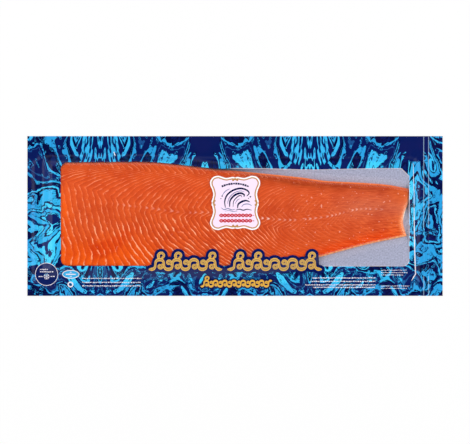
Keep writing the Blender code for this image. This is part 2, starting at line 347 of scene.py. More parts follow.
def newTree(name):
    material = bpy.data.materials.new(name)
    material.use_nodes = True
    material.node_tree.nodes.clear()
    return material, material.node_tree


def add(tree, kind, inputs=(), output=0, stops=(), ramp="LINEAR", **settings):
    # One node: inputs are values or sockets to link, by name or in order; settings are its properties; stops
    # and ramp fill a colour ramp. Gives back one output socket.
    made = tree.nodes.new("ShaderNode" + kind)
    for key, value in settings.items():
        setattr(made, key, value)
    for key, value in inputs.items() if isinstance(inputs, dict) else enumerate(inputs):
        if isinstance(value, bpy.types.NodeSocket):
            tree.links.new(value, made.inputs[key])
        else:
            made.inputs[key].default_value = value
    if stops:
        made.color_ramp.interpolation = ramp
        while len(made.color_ramp.elements) < len(stops):
            made.color_ramp.elements.new(0.5)
        for element, (place, colour) in zip(made.color_ramp.elements, stops):
            element.position = place
            element.color = colour
    return made.outputs[output] if made.outputs else None


def coat(tree, colour, finish, height=None, strength=0.0, depth=0.0):
    # Ends a material: one Principled shader with this finish, over a relief of this depth in mm.
    inputs = {"Base Color": colour, **finish}
    if height is not None:
        inputs["Normal"] = add(tree, "Bump", {"Height": height, "Strength": strength, "Distance": depth * mm})
    add(tree, "OutputMaterial", (add(tree, "BsdfPrincipled", inputs),))


# Printed film: gravure-printed, laminated polyester and polyethylene. The laminate gives an even, fairly
# sharp gloss over flat ink, and the print is marbled in flowing navy and cyan bands with fine veins.

marble = {
    "navy": "#091a58",
    "deepNavy": "#040b3a",
    "slate": "#1b4f8e",
    "plum": "#22164a",
    "cyan": "#2c9fe0",
    "brightCyan": "#3bb9f2",
    "hairline": "#e9dfe9",
    "foldCentre": -211,  # the print mirrors about this line
    "foldLength": 164,  # and again every so many mm
    "noiseDepth": 0.37,  # which slice of the noise is used
    "bendLength": 75,  # size and reach of the large bends, then of the middle and small ones
    "bendReach": 90,
    "curlLength": 24,
    "curlReach": 20,
    "frayLength": 5,
    "frayReach": 3.8,
    "bandLength": 52,
    "islandLength": 9,
    "grainLength": 1.3,
    "patchLength": 45.5,
    # Past this y, lengths across the pack count for less, so the shapes draw out towards its edges.
    "stretches": [(72, "MAXIMUM", 0.45), (-78, "MINIMUM", 0.9)],
    # The inks shift on their scale past some places, so their mix is another one at both ends, along the top
    # and along the bottom.
    "shifts": [("x", -262, -285, 0.07), ("x", 262, 285, 0.15), ("y", 30, 70, -0.08),
               ("y", -60, -90, -0.115)],
    # Inks in the order in which they follow one another, each from its place on a scale from 0 to 1.
    "bands": [(0.0, "brightCyan"), (0.09, "navy"), (0.20, "slate"), (0.225, "navy"), (0.30, "cyan"),
              (0.345, "deepNavy"), (0.44, "navy"), (0.475, "brightCyan"), (0.515, "deepNavy"),
              (0.565, "cyan"), (0.66, "deepNavy"), (0.695, "brightCyan"), (0.76, "navy"), (0.81, "cyan"),
              (0.90, "deepNavy"), (0.935, "brightCyan")],
    "quietFold": (170, 200),  # the quiet field sets in this far from a mirror line and this high up
    "quietTop": (70, 100),
    "quietRagged": 90,
    "quietWeight": 0.7,
    "quietLimit": 0.9,
    "tongueBands": [(0.0, "deepNavy"), (0.3, "navy"), (0.53, "cyan"), (0.58, "brightCyan"), (0.66, "navy")],
    "tongueFan": 2340,  # tongues a metre for each metre up from the pack's middle, so 290 at its top edge
    "tongueLength": 19.23,
    "featherWidth": 44,
    "featherLow": 70,
    "featherSlant": 0.22,
    "swayLength": 25,
    "swayReach": 12,
    "boardShine": (1.35, 1.32, 1.12, 1.0),
}


def inkStops(bands):
    return [(at, tone(marble[ink])) for at, ink in bands]


def printTree(name):
    # The print's place is mirrored along the pack and bent by three noises, large to small. A fourth noise at
    # the bent place picks the ink.
    material, tree = newTree(name)
    place = add(tree, "TexCoord", output="Object")
    x, y = add(tree, "SeparateXYZ", (place,)).node.outputs[:2]
    fromFold = add(tree, "Math", (x, marble["foldCentre"] * mm), operation="SUBTRACT")
    folded = add(tree, "Math", (fromFold, marble["foldLength"] * mm), operation="PINGPONG")
    drawn = y
    for start, side, stretch in marble["stretches"]:
        past = add(tree, "Math", (y, start * mm), operation="SUBTRACT")
        past = add(tree, "Math", (past, 0.0), operation=side)
        drawn = add(tree, "Math", (past, stretch - 1, drawn), operation="MULTIPLY_ADD")
    point = add(tree, "CombineXYZ", (folded, drawn, marble["noiseDepth"]))
    for step, detail in (("bend", 1.0), ("curl", 2.0), ("fray", 1.0)):
        size, reach = marble[step + "Length"] * mm, marble[step + "Reach"] * mm
        bend = add(tree, "TexNoise", {"Vector": point, "Scale": 1 / size, "Detail": detail}, "Color")
        point = add(tree, "VectorMath", (bend, (reach, reach, reach), point), operation="MULTIPLY_ADD")
    field, islands = (
        add(tree, "TexNoise", {"Vector": point, "Scale": 1 / (marble[size] * mm), "Detail": detail})
        for size, detail in (("bandLength", 1.0), ("islandLength", 2.0)))
    spread = add(tree, "MapRange", {"Value": field, "From Min": 0.2, "From Max": 0.8})
    shifted = spread
    for axis, near, far, shift in marble["shifts"]:
        step = add(tree, "MapRange", {"Value": x if axis == "x" else y, "From Min": near * mm,
                                      "From Max": far * mm, "To Max": shift})
        shifted = add(tree, "Math", (shifted, step), operation="ADD")
    ink = add(tree, "ValToRGB", (shifted,), stops=inkStops(marble["bands"]), ramp="CONSTANT")
    # On every second mirror line the top edge has a quiet navy field with a ragged outline.
    ragged = add(tree, "Math", (islands, marble["quietRagged"] * mm, folded), operation="MULTIPLY_ADD")
    nearFold, nearTop = (
        add(tree, "MapRange", {"Value": value, "From Min": start * mm, "From Max": end * mm})
        for value, (start, end) in ((ragged, marble["quietFold"]), (y, marble["quietTop"])))
    quiet = add(tree, "Math", (nearFold, nearTop), operation="MULTIPLY")
    quiet = add(tree, "Math", (quiet, marble["quietWeight"], spread), operation="MULTIPLY_ADD")
    quiet = add(tree, "Math", (quiet, marble["quietLimit"]), operation="GREATER_THAN")
    # Small islands and fine veins of the other ink float in each field.
    light = add(tree, "Math", (islands, 0.33), operation="LESS_THAN")
    dark = add(tree, "Math", (islands, 0.66), operation="GREATER_THAN")
    dark = add(tree, "Math", (dark, quiet), operation="MAXIMUM")
    for share, vein, width, colour in ((light, 0.405, 0.009, "cyan"), (dark, 0.572, 0.014, "navy")):
        vein = add(tree, "Math", (islands, vein, width), operation="COMPARE")
        share = add(tree, "Math", (share, vein), operation="MAXIMUM")
        ink = add(tree, "Mix", {0: share, 6: ink, 7: tone(marble[colour])}, 2, data_type="RGBA")
    return material, tree, ink, (x, y, folded, point)


def finishFilm(tree, ink):
    # Biaxial polyester over the ink: a fairly sharp gloss with a faint unevenness, a lump every 17 mm or so.
    place = add(tree, "TexCoord", output="Object")
    haze = add(tree, "TexNoise", {"Vector": place, "Scale": 1 / (16.67 * mm), "Detail": 2.0})
    coat(tree, ink, {"Roughness": 0.2, "IOR": 1.5, "Specular IOR Level": 0.2}, haze, 0.15, 0.4)


def marbledFilm(name):
    material, tree, ink, (x, y, folded, point) = printTree(name)
    # Feathered patches by the top edge: narrow cyan tongues combed downwards through navy, closer at the top.
    fan = add(tree, "Math", (folded, y), operation="MULTIPLY")
    fan = add(tree, "Math", (fan, marble["tongueFan"]), operation="MULTIPLY")
    down = add(tree, "Math", (y, 1 / (marble["tongueLength"] * mm)), operation="MULTIPLY")
    comb = add(tree, "CombineXYZ", (fan, down, 2.3))
    tongues = add(tree, "TexNoise", {"Vector": comb, "Scale": 1.0, "Detail": 1.0})
    tongueInk = add(tree, "ValToRGB", (tongues,), stops=inkStops(marble["tongueBands"]), ramp="CONSTANT")
    sway = add(tree, "TexNoise", {"Vector": point, "Scale": 1 / (marble["swayLength"] * mm), "Detail": 1.0})
    reach = add(tree, "Math", (sway, marble["swayReach"] * mm, folded), operation="MULTIPLY_ADD")
    slant = add(tree, "Math", (packHigh[1] * mm, y), operation="SUBTRACT")
    reach = add(tree, "Math", (slant, marble["featherSlant"], reach), operation="MULTIPLY_ADD")
    feather = add(tree, "Math", (reach, marble["featherWidth"] * mm), operation="LESS_THAN")
    nearTop = add(tree, "Math", (y, marble["featherLow"] * mm), operation="GREATER_THAN")
    feather = add(tree, "Math", (feather, nearTop), operation="MULTIPLY")
    # Fine grain in the cyan and a plum cast in some of the navy.
    flat = add(tree, "CombineXYZ", (x, y, 0.0))
    grain, patches = (
        add(tree, "TexNoise", {"Vector": flat, "Scale": 1 / (marble[size] * mm), "Detail": detail})
        for size, detail in (("grainLength", 2.0), ("patchLength", 1.0)))
    grain = add(tree, "MapRange", {"Value": grain, "From Min": 0.55, "From Max": 0.72, "To Max": 0.7})
    grainy = add(tree, "MapRange", {"Value": patches, "From Min": 0.45, "From Max": 0.62})
    grain = add(tree, "Math", (grain, grainy), operation="MULTIPLY")
    cast = add(tree, "MapRange", {"Value": patches, "From Min": 0.5, "From Max": 0.62, "To Max": 0.18})
    # The silver board shines through the inks: they are brighter over it than over the plain margin. White
    # underprint shows as a hairline round the window.
    over, rim = (add(tree, "Attribute", output="Fac", attribute_name=key) for key in ("overBoard", "nearRim"))
    bare = add(tree, "Math", (rim, 0.5), operation="GREATER_THAN")
    bare = add(tree, "Math", (bare, 0.8), operation="MULTIPLY")
    for share, colour, way in ((feather, tongueInk, "MIX"), (grain, tone(marble["navy"]), "MIX"),
                               (cast, tone(marble["plum"]), "LIGHTEN"),
                               (over, marble["boardShine"], "MULTIPLY"),
                               (bare, tone(marble["hairline"]), "MIX")):
        ink = add(tree, "Mix", {0: share, 6: ink, 7: colour}, 2, data_type="RGBA", blend_type=way)
    finishFilm(tree, ink)
    return material


# The window and its rim.

window = {
    "halfLength": 272,
    "bottom": -78,
    "top": 74,
    "sag": 2.2,
    "overlap": 0.4,  # the print covers this much of the fish's back
    "corner": 10,
    "headCorner": 11,
    "chamfer": 12,  # the board's upper tail corner is cut off
    "ripple": 0.27,  # the print's edge wanders a little over the fish's back
    "rippleLength": 27,
    "columns": 330,
    "rows": 96,
    "cornerColumns": 10,
}


def windowTop(x):
    # The higher of two lines: one level with a sine-squared sag along the bare board, and the fish's back
    # less the overlap, with a sine ripple at the head end.
    sag = window["sag"] * np.sin(np.pi * ease(-30, window["halfLength"], x)) ** 2
    wander = window["ripple"] * np.sin(2 * np.pi * x / window["rippleLength"]) * (1 - ease(-150, -110, x))
    return np.maximum(window["top"] - sag, backEdge(x) - window["overlap"] + wander)


def windowGrid(inset):
    # Rows from the bottom edge up to the top one: low + share (high - low), in columns that are closer
    # together in the round corners.
    left, right = -window["halfLength"] + inset, window["halfLength"] - inset
    arc = window["corner"] * (1 - np.cos(np.linspace(0, np.pi / 2, window["cornerColumns"], endpoint=False)))
    middle = np.linspace(left + window["corner"], right - window["corner"], window["columns"])
    x = np.concatenate([left + arc, middle, (right - arc)[::-1]])
    low = window["bottom"] + inset + cornerInset(np.minimum(x - left, right - x), window["corner"])
    cutOff = np.clip(window["chamfer"] - (right - x), 0, None)
    topInset = np.maximum(cornerInset(x - left, window["headCorner"]), cutOff)
    high = windowTop(x) - inset - topInset
    share = np.linspace(0, 1, window["rows"])[:, None]
    return np.broadcast_to(x, (window["rows"], len(x))).copy(), low + (high - low) * share


def rimOf(grid):
    # The outer points of a grid once round, anticlockwise from its first corner.
    return np.concatenate([grid[0], grid[1:, -1], grid[-1, -2::-1], grid[-2:0:-1, 0]])


def makePrintedFront():
    # Straight rays from the window's rim out to the pouch's edge: rim + t (edge - rim), with t close together
    # by the rim, on the film's underside and face.
    gridX, gridY = windowGrid(0)
    rimX, rimY = rimOf(gridX), rimOf(gridY)
    share = (gridX - gridX[0, 0]) / (gridX[0, -1] - gridX[0, 0])
    outerX = packLow[0] + (packHigh[0] - packLow[0]) * share
    lowHalf = np.arange(len(gridX))[:, None] * 2 < len(gridX)
    outerY = np.where(lowHalf, packLow[1], packHigh[1]) + 0 * gridX
    up = np.linspace(packLow[1], packHigh[1], len(gridX))
    outerX[:, 0], outerX[:, -1] = packLow[0], packHigh[0]
    outerY[:, 0], outerY[:, -1] = up, up
    toX, toY = rimOf(outerX) - rimX, rimOf(outerY) - rimY
    near = np.array([0, 0.4, 0.8, 1.2, 1.8])[:, None] / np.hypot(toX, toY)
    t = near[-1] + (1 - near[-1]) * np.linspace(0, 1, 33)[:, None]
    t = np.concatenate([near[:-1], t])
    x, y = rimX + toX * t, rimY + toY * t
    low = filmUnderside(x, y) + filmRelief(x, y)
    over = 1 - ease(-1.5, 1.5, outsideBoard(x, y))
    bareBoard = ease(-30, 10, x) * np.where(y < 0, ease(120, 150, x), 1)
    nearRim = (1 - np.clip(np.hypot(x - rimX, y - rimY) / 2, 0, 1)) * bareBoard
    values = {"overBoard": np.tile(over.ravel(), 2), "nearRim": np.tile(nearRim.ravel(), 2)}
    pieceFrom("printedFront", sheetShell(x, y, low, low + filmThickness, loop=True),
              marbledFilm("gravurePrintedFilm"), "printed_film", True, values)


def clearFilm(name):
    # Polyethylene film, drawn tight onto moist flesh: colourless, so it only adds a weak, fairly sharp gloss,
    # which grows as 0.04 + 0.55 (1 - cosine)^5 with a flatter view. The far side of the film adds nothing.
    material, tree = newTree(name)
    gloss = add(tree, "BsdfGlossy", {"Color": (1, 1, 1, 1), "Roughness": 0.14})
    clear = add(tree, "BsdfTransparent")
    facing = add(tree, "LayerWeight", (0.5,), "Facing")
    grazing = add(tree, "Math", (facing, 5.0), operation="POWER")
    grazing = add(tree, "Math", (grazing, 0.55, 0.04), operation="MULTIPLY_ADD")
    back = add(tree, "NewGeometry", output="Backfacing")
    front = add(tree, "Math", (1.0, back), operation="SUBTRACT")
    share = add(tree, "Math", (grazing, front), operation="MULTIPLY")
    mixed = add(tree, "MixShader", (share, clear, gloss))
    add(tree, "OutputMaterial", (mixed,))
    return material


def makeWindow():
    # The film's underside over the window's grid, plus a faint ripple.
    x, y = windowGrid(clearance)
    low = filmUnderside(x, y) + film["windowRipple"] * waves(x, y, 11, 22)
    pieceFrom("windowFilm", sheetShell(x, y, low, low + filmThickness), clearFilm("clearPolyethyleneFilm"),
              "window_film", True)


# The flesh: folded muscle blocks parted by fat lines. Each line runs from the back down to a fold that points
# to the tail, back to one that points to the head, out to the bone line, back again, and on to the belly.

muscle = {
    "backFold": [(-290, 80), (-211, 77.3), (-158, 71.4), (-89, 66.7), (-45, 66), (42, 60.5), (102, 50),
                 (180, 45.8), (278, 34)],
    "headFold": [(-290, 60), (-240, 46.7), (-188, 28.8), (-159, 20), (-100, 14), (-42, 13), (42, 4.7),
                 (102, 3.9), (172, 11.7), (278, 15.6)],
    "boneLine": [(-290, 44), (-237, 32.8), (-194, 20.3), (-130, 12), (-78, 5.3), (-42, 5.6), (42, -3.4),
                 (89, -6.3), (122, -3.8), (150, 0.3), (198, 11), (278, 6)],
    "lowFold": [(-290, 42), (-237, 30), (-194, 15.6), (-130, 5.5), (-78, -1.6), (-42, -2.5), (42, -15.6),
                (89, -20.3), (150, -12.5), (195, 1.6), (278, -2)],
    "spacing": [(-400, 10), (-150, 9.4), (0, 8.4), (120, 8), (400, 6.5)],  # between fat lines
    "upperRun": 84,  # how far a line runs along the fish between its two upper folds
    "backSlope": 1.0,
    "boneSlope": [(-290, 0.35), (-140, 0.6), (0, 1.0), (278, 1.2)],
    "boneBack": [(-290, 0.0), (-160, 0.3), (-100, 1.5), (278, 1.3)],
    "bellyRun": [(-290, 32), (-220, 36), (-150, 52), (-80, 84), (0, 98), (100, 86), (200, 60), (278, 40)],
    "bellyCurl": 13,  # the lowest stretch turns back by this much at the head end
    "wander": 1.1,
}


def musclePhase(x, y):
    # Number of fat lines passed along the fish. A point slides along its fat line onto the head fold, and the
    # distance it lands from the head end, over the spacing of the lines, is its phase.
    x = x + muscle["wander"] * waves(x, y, 3, 46)
    folds = ("backFold", "headFold", "boneLine", "lowFold")
    back, head, bone, low = (through(muscle[key], x) for key in folds)
    toBelly = np.clip((low - y) / (low - bellyEdge(x)), 0, 1.1)
    t = np.clip((back - y) / (back - head), 0, 1)
    upper = muscle["upperRun"] * (0.47 * (1 - t) + 0.53 * (1 - t) ** 3.5)
    boneStep = through(muscle["boneSlope"], x) * (head - bone)
    boneReturn = through(muscle["boneBack"], x) * (bone - low)
    run = through(muscle["bellyRun"], x)
    curl = muscle["bellyCurl"] * (1 - ease(-225, -165, x)) * ease(0.74, 1.0, toBelly)
    shift = np.where(y > back, muscle["upperRun"] - muscle["backSlope"] * (y - back), upper)
    shift = np.where(y < head, boneStep * np.clip((head - y) / (head - bone), 0, 1), shift)
    shift = shift - boneReturn * np.clip((bone - y) / (bone - low), 0, 1)
    shift = shift + np.where(y < low, run * toBelly ** 1.35 - curl, 0)
    grid = np.linspace(-450, 400, 1701)
    count = np.cumsum(0.5 / np.interp(grid, *np.array(muscle["spacing"], float).T))
    return np.interp(x - shift, grid, count)


# The tones that smoke, fat and blood give the flesh, and a painted glare at the tail cut, by the place where
# each is strongest.
fleshColours = {
    "flesh": "#dd562a",
    "belly": "#f25a10",
    "edge": "#fb641c",
    "bellyRight": "#ee4a0c",
    "loin": "#e0562c",
    "right": "#d4532f",
    "brown": "#a83c1c",
    "tail": "#d0624a",
    "tailEnd": "#e4642f",
    "back": "#b8401c",
    "paleBellyRim": "#ffc890",
    "backRim": "#ff7618",
    "paleTailBand": "#ff9a66",
    "paintedGlare": "#fff0ea",
    "deepRed": "#dc3f0e",
}


def fleshTones(x, y, share):
    # Blends of named tones, each over its own soft zone; the zones' limits are places and distances in mm.
    tones = {key: np.array(tone(code)) for key, code in fleshColours.items()}
    colour = np.broadcast_to(tones["flesh"], x.shape + (4,)).copy()

    def blend(mask, key):
        nonlocal colour
        colour = colour + (tones[key] - colour) * np.clip(mask, 0, 1)[..., None]

    blend(0.8 * np.exp(-((y - 40) / 26) ** 2) * (1 - ease(60, 130, x)), "loin")
    blend(0.6 * ease(0, 60, x) * ease(-50, -15, y), "right")
    blend((1 - ease(2, 20, backEdge(x) - y)) * (1 - ease(-90, 60, x)) * 0.28, "back")
    blend(ease(-15, -62, y) * (1 - ease(-170, -60, x)) * 0.9, "belly")
    blend((1 - ease(-275, -245, x)) * (1 - ease(10, 60, y)), "edge")
    fromBack = backEdge(x) - y
    blend((1 - ease(3, 26, fromBack)) * ease(-60, 60, x) * 0.85, "back")
    streak = np.exp(-((y - through(muscle["backFold"], x)) / 3.2) ** 2)
    blend(streak * ease(-20, 60, x) * (1 - ease(190, 240, x)) * 0.8, "brown")
    blend((1 - ease(1.0, 3.4, fromBack)) * ease(-20, 40, x), "backRim")
    tailZone = np.exp(-((y - 15) / 19) ** 2) * ease(120, 200, x)
    blend(tailZone * 0.9, "tail")
    fromBelly = y - bellyEdge(x)
    blend((1 - ease(4, 24, fromBelly)) * ease(40, 110, x), "bellyRight")
    blend(ease(225, 262, x) * (1 - np.exp(-((y - 8) / 14) ** 2)) * 0.6, "tailEnd")
    # Deeper red clouds low on the head half, a pale rim along the belly cut, a paler orange band along the
    # tail cut, and a painted highlight: the film's near-white glare in the middle of the cut.
    clouds = ease(0.1, 0.9, waves(x, y, 14, 60))
    blend(clouds * ease(0, -40, y) * (1 - ease(-130, -30, x)) * 0.7, "deepRed")
    patchy = 0.6 + 0.4 * np.sin(x * 0.9) * np.sin(x * 0.23)
    # A pale, broken rim along the belly cut towards the tail.
    blend((1 - ease(1.4, 3.6, fromBelly)) * ease(60, 110, x) * patchy, "paleBellyRim")
    fromTail = tailCut(share) - x
    # A paler orange band along the tail cut, strongest towards its lower end.
    blend((1 - ease(2, 10, fromTail)) * (0.4 + 0.3 * ease(10, -15, y)), "paleTailBand")
    # Painted highlight: the film's glare, near white, along the middle of the tail cut.
    blend((1 - ease(0.8, 2.4, fromTail)) * np.exp(-((y - 3) / 8) ** 2) * 0.9, "paintedGlare")
    return colour


# Sizes in mm and detail of the noises in the flesh. Fibres and specks are drawn some 3 mm coarse to show.
fleshGrain = {
    "fibre": (3.333, 2.0),
    "wobble": (11.11, 1.0),
    "cloud": (26.32, 2.0),
    "gaps": (11.765, 2.0),
    "speck": (3.333, 0.0),
}


def smokedFlesh():
    # Cold-smoked salmon: dense, moist and slightly see-through, orange with paler fat. The film is drawn onto
    # it, so it has a soft wet gloss and no dry crust.
    material, tree = newTree("smokedSalmonFlesh")
    place = add(tree, "TexCoord", output="Object")
    along = add(tree, "TexCoord", output="UV")
    phase = add(tree, "SeparateXYZ", (along,))
    tint = add(tree, "Attribute", output="Color", attribute_name="tint")
    fat, spot, relief, fibrous = (add(tree, "Attribute", output="Fac", attribute_name=key)
                                  for key in ("fat", "spot", "relief", "fibrous"))
    fibre, wobble, cloud, gaps, speck = (
        add(tree, "TexNoise", {"Vector": place, "Scale": 1 / (size * mm), "Detail": detail})
        for size, detail in fleshGrain.values())
    # The fat lines wobble a little: the phase gets up to 0.3 and 0.1 of a line's spacing from two noises.
    running = add(tree, "Math", (wobble, 0.6, phase), operation="MULTIPLY_ADD")
    running = add(tree, "Math", (fibre, 0.2, running), operation="MULTIPLY_ADD")
    running = add(tree, "Math", (running, 0.4), operation="SUBTRACT")
    saw = add(tree, "Math", (running,), operation="FRACT")
    peak = add(tree, "Math", (saw, 0.5), operation="SUBTRACT")
    peak = add(tree, "Math", (peak,), operation="ABSOLUTE")
    line = add(tree, "MapRange", {"Value": peak, "From Min": 0.31, "From Max": 0.49},
               interpolation_type="SMOOTHSTEP")
    # Painted shade across each muscle block, as light falls over the scalloped blocks: behind each fat line
    # the flesh takes a shaded copy of its tint, and it brightens to a lit copy on the way to the next line,
    # as much as the relief attribute says.
    deepToneAndShade, litFlesh = (add(tree, "Mix", {0: 1.0, 6: tint, 7: factor}, 2, data_type="RGBA", blend_type="MULTIPLY")
                    for factor in ((0.74, 0.44, 0.38, 1.0), (1.08, 1.18, 0.95, 1.0)))
    depth = add(tree, "Math", (1.0, saw), operation="SUBTRACT")
    depth = add(tree, "Math", (depth, 1.3), operation="POWER")
    depth = add(tree, "Math", (depth, relief), operation="MULTIPLY")
    patch = add(tree, "MapRange", {"Value": cloud, "From Min": 0.45, "From Max": 0.75, "To Max": 0.55})
    # Fibres run along the body as short fine streaks, plainest where the fat lines fade out.
    turned = add(tree, "Mapping", {"Vector": place, "Rotation": (0, 0, -0.2), "Scale": (70, 620, 60)})
    streaks = add(tree, "TexNoise", {"Vector": turned, "Scale": 1.0, "Detail": 2.0})
    darker = add(tree, "MapRange", {"Value": streaks, "From Min": 0.5, "From Max": 0.32})
    lighter = add(tree, "MapRange", {"Value": streaks, "From Min": 0.53, "From Max": 0.72, "To Max": 0.4})
    speck = add(tree, "MapRange", {"Value": speck, "From Min": 0.775, "From Max": 0.82})
    darker, lighter, speck = (add(tree, "Math", (share, fibrous), operation="MULTIPLY")
                              for share in (darker, lighter, speck))
    # Fat lines are orange where they are thin and nearly white where they are thickest, with gaps between.
    broken = add(tree, "MapRange", {"Value": gaps, "From Min": 0.6, "From Max": 0.38, "To Max": 1.1})
    thin = add(tree, "Math", (broken, 0.6, 0.4), operation="MULTIPLY_ADD")
    thin = add(tree, "Math", (thin, line), operation="MULTIPLY")
    fatty = add(tree, "Math", (fat, 1.6), operation="MULTIPLY", use_clamp=True)
    thin = add(tree, "Math", (thin, fatty), operation="MULTIPLY")
    thick = add(tree, "Math", (line, broken), operation="MULTIPLY")
    thick = add(tree, "Math", (thick, 1.6), operation="POWER")
    thick = add(tree, "Math", (thick, fat), operation="MULTIPLY")
    mark = add(tree, "MapRange", {"Value": peak, "From Min": 0.2, "From Max": 0.425})
    mark = add(tree, "Math", (mark, spot), operation="MULTIPLY")
    flesh = litFlesh
    for share, colour in ((depth, deepToneAndShade), (patch, deepToneAndShade), (darker, deepToneAndShade), (lighter, tone("#ff8a50")),
                          (thin, tone("#ff702a")), (thick, tone("#ffc49c")), (speck, tone("#ffcdb8")),
                          (mark, tone("#ffd9c8"))):
        flesh = add(tree, "Mix", {0: share, 6: flesh, 7: colour}, 2, data_type="RGBA")
    coat(tree, flesh, {"Roughness": 0.4, "IOR": 1.4, "Specular IOR Level": 0.1}, fibre, 0.3, 0.5)
    return material


def makeSalmon():
    # A grid from the head end to the cut tail and from back to belly. Its height is the crest height times
    # edgeShare + (1 - edgeShare) sqrt(1 - (1 - d)^2), less a groove at each fat line and low lumps; d is the
    # distance from the cut edge over edgeWidth.
    i = np.linspace(0, 1, fish["columns"])[None, :]
    j = np.linspace(0, 1, fish["rows"])[:, None]
    along = 0.18 * (1 - np.cos(np.pi * i)) / 2 + 0.82 * i  # steps a little closer at the edges
    share = 0.3 * (1 - np.cos(np.pi * j)) / 2 + 0.7 * j
    x = headEnd + along * (tailCut(share) - headEnd)
    inset = cornerInset(x - headEnd, fish["headCorner"])
    underFilm = fish["underFilm"] * (1 - ease(-80, -20, x))
    high, low = backEdge(x) + underFilm - inset, bellyEdge(x) + inset
    y = high + share * (low - high)
    depth = np.minimum(np.minimum(x - headEnd, tailCut(share) - x), np.minimum(high - y, y - low))
    depth = np.maximum(depth, 0)
    rounding = np.sqrt(1 - (1 - np.minimum(depth / fish["edgeWidth"], 1)) ** 2)
    body = crestHeight(x, shareAcross(x, y)) * (fish["edgeShare"] + (1 - fish["edgeShare"]) * rounding)
    phase = musclePhase(x, y)
    groove = np.exp(-(((phase + 0.5) % 1 - 0.5) / 0.09) ** 2)
    inner = ease(0, 6, depth)
    top = body - inner * (fish["grooveDepth"] * groove + fish["lumps"] * 0.5 * (1 + waves(x, y, 8, 31)))
    points = np.stack([x, y, fleshUnderside + top], -1).reshape(-1, 3)
    index = np.arange(x.size).reshape(x.shape)
    rim = rimOf(index)
    foot = np.arange(len(rim)) + x.size
    footPoints = points[rim].copy()
    footPoints[:, 2] = fleshUnderside
    sides = np.stack([rim, np.roll(rim, -1), np.roll(foot, -1), foot], -1)
    shell = np.concatenate([points, footPoints]), np.concatenate([gridFaces(index), sides]), [foot]
    # Where the fat shows strongest: over the belly at the head end, least near the tail.
    belly = 1 - ease(-30, 10, y)
    bellyFat = belly * (0.34 + 0.26 * ease(-170, -110, x)) * (1 - ease(-20, 110, x)) * ease(-290, -200, x)
    strength = 0.26 + bellyFat + 0.1 * (1 - ease(-260, -170, x))
    strength = strength - 0.17 * ease(15, 110, x) - 0.06 * ease(150, 220, x)
    strength = strength * (1 - 0.25 * ease(-25, 3, y - backEdge(x)))
    # How strong the painted shade across the muscle blocks is: most over the belly, least towards the tail.
    relief = 0.6 + belly * (0.2 + 0.2 * ease(-170, -110, x))
    relief = relief - (0.36 + 0.2 * belly) * ease(10, 110, x) - 0.14 * ease(130, 230, x)
    fibrous = 0.12 + 0.38 * ease(40, 150, x) + 0.25 * ease(160, 240, x) * ease(20, -20, y)
    # Pale cut bones lie along the bone line, uneven in strength.
    spots = np.exp(-((y - through(muscle["boneLine"], x)) / 1.35) ** 2) * ease(-210, -140, x)
    uneven = np.clip(0.55 + 0.75 * waves(x, 0 * y, 17, 24), 0.08, 1)
    spots = spots * uneven * (0.35 + 0.65 * ease(10, 50, x) - 0.35 * ease(90, 130, x))
    spots = spots * (1 - ease(215, 240, x))

    def withRim(data):
        flat = data.reshape((x.size,) + data.shape[2:])
        return np.concatenate([flat, flat[rim]])

    values = {"tint": withRim(fleshTones(x, y, share)), "fat": withRim(np.clip(strength, 0, 1)),
              "spot": withRim(spots), "relief": withRim(relief), "fibrous": withRim(fibrous)}
    uv = withRim(np.stack([phase, share + 0 * x], -1))
    pieceFrom("salmonFlesh", shell, smokedFlesh(), "salmon_side", True, values, uv, sharpAngle=60)


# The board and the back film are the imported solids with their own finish.

def silverBoard():
    # Grey board laminated with metallised polyester: an even, cool, satin silver with a fine embossed grain,
    # which is drawn about 2.3 mm coarse so that it shows.
    material, tree = newTree("metallisedBoard")
    place = add(tree, "TexCoord", output="Object")
    grain = add(tree, "TexNoise", {"Vector": place, "Scale": 1 / (2.326 * mm), "Detail": 3.0})
    shades = add(tree, "ValToRGB", (grain,), stops=[(0.33, tone("#9fa4bd")), (0.67, tone("#c2c5dd"))])
    coat(tree, shades, {"Metallic": 0.25, "Roughness": 0.5, "Specular IOR Level": 0.2}, grain, 0.2, 0.2)
    return material


def makeBacking():
    for node, finish in (("backing_board", silverBoard()), ("back_film", marbledFilm("gravurePrintedBack"))):
        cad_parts[node].data.materials.clear()
        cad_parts[node].data.materials.append(finish)
    print("board and back film finished")


# The label on the window: coated paper, die-cut to a bracket outline.

label = {
    "quarter": [(0, 39.5), (4, 40.6), (13.5, 39), (20, 40.6), (26.5, 42.4), (34, 40.4), (38.6, 34.5),
                (38.8, 28), (35.8, 20.5), (34.3, 13.5), (35.6, 6), (36.8, 3), (36.0, 0)],
    "thickness": 0.4,
    "lineInset": 3.2,
    "lineWidth": 1.8,
    "knotRadius": 1.6,
    "knotStep": 3.2,
}
labelLow, labelHigh = (np.array(corner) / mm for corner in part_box("front_label"))
labelCentre = (labelLow[:2] + labelHigh[:2]) / 2


def labelOutline(steps=20):
    # One quarter as a smooth curve through its points, mirrored about both axes.
    stations = label["quarter"]
    quarter = curveThrough(stations, np.arange(0, (len(stations) - 1) * steps) / steps)
    upperRight = np.vstack([quarter, [stations[-1]]])
    right = np.vstack([upperRight, quarter[::-1] * [1, -1]])
    return np.vstack([right, right[1:-1][::-1] * [-1, 1]])


def insetLoop(loop, distance):
    # The loop moved in along its normals; it runs clockwise, so its right side is inside.
    ahead = np.roll(loop, -1, 0) - np.roll(loop, 1, 0)
    normal = np.stack([ahead[:, 1], -ahead[:, 0]], -1) / np.hypot(*ahead.T)[:, None]
    return loop + normal * distance


def labelSurface(x, y):
    # The label's underside: the film's plain face plus the gap.
    return filmUnderside(x, y) + filmThickness + clearance


def labelTop(x, y):
    # The label's face, one thickness higher.
    return labelSurface(x, y) + label["thickness"]


